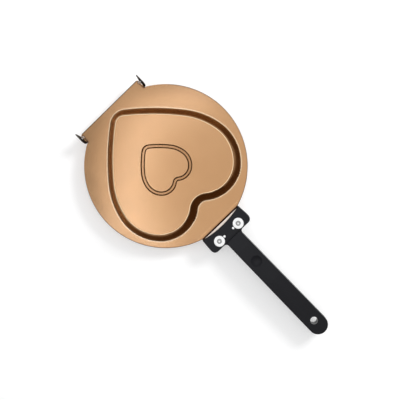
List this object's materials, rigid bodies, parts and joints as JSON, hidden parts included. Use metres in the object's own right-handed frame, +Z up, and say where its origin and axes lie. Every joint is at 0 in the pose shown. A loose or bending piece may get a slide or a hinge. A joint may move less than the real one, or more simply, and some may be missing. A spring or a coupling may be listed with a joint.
{
  "type": "double-sided frying pan",
  "caption": "Double-sided frying pan: two round copper-coloured steel halves with a pressed heart dish, hinged at the rear, with black handles.",
  "frame": {"origin": "centre of the round flange, on the flat outer face of the lower dish that the pan rests on", "axes": "+X along the handles, +Y to the left seen from above, +Z up, with the pan closed and lying on its lower dish"},
  "size_m": [0.3626, 0.19, 0.04],
  "materials": {
    "copper_coating": "satin",
    "black_plastic": "matte",
    "bright_steel": "satin"
  },
  "bodies": {
    "lower": {"lower_pan": "copper_coating", "lower_handle": "black_plastic", "hinge_rivets": "bright_steel", "lower_handle_rivets": "bright_steel", "lower_rivet_washers": "bright_steel", "lower_locating_pins": "bright_steel"},
    "upper": {"upper_pan": "copper_coating", "upper_handle": "black_plastic", "upper_handle_rivets": "bright_steel", "upper_rivet_washers": "bright_steel", "upper_locating_pins": "bright_steel"}
  },
  "joints": [
    {"name": "rear_hinge", "type": "hinge", "parent": "lower", "child": "upper", "pos_m": [-0.09051, 0, 0.023], "axis": [0, -1, 0], "range_deg": [0, 105]}
  ]
}
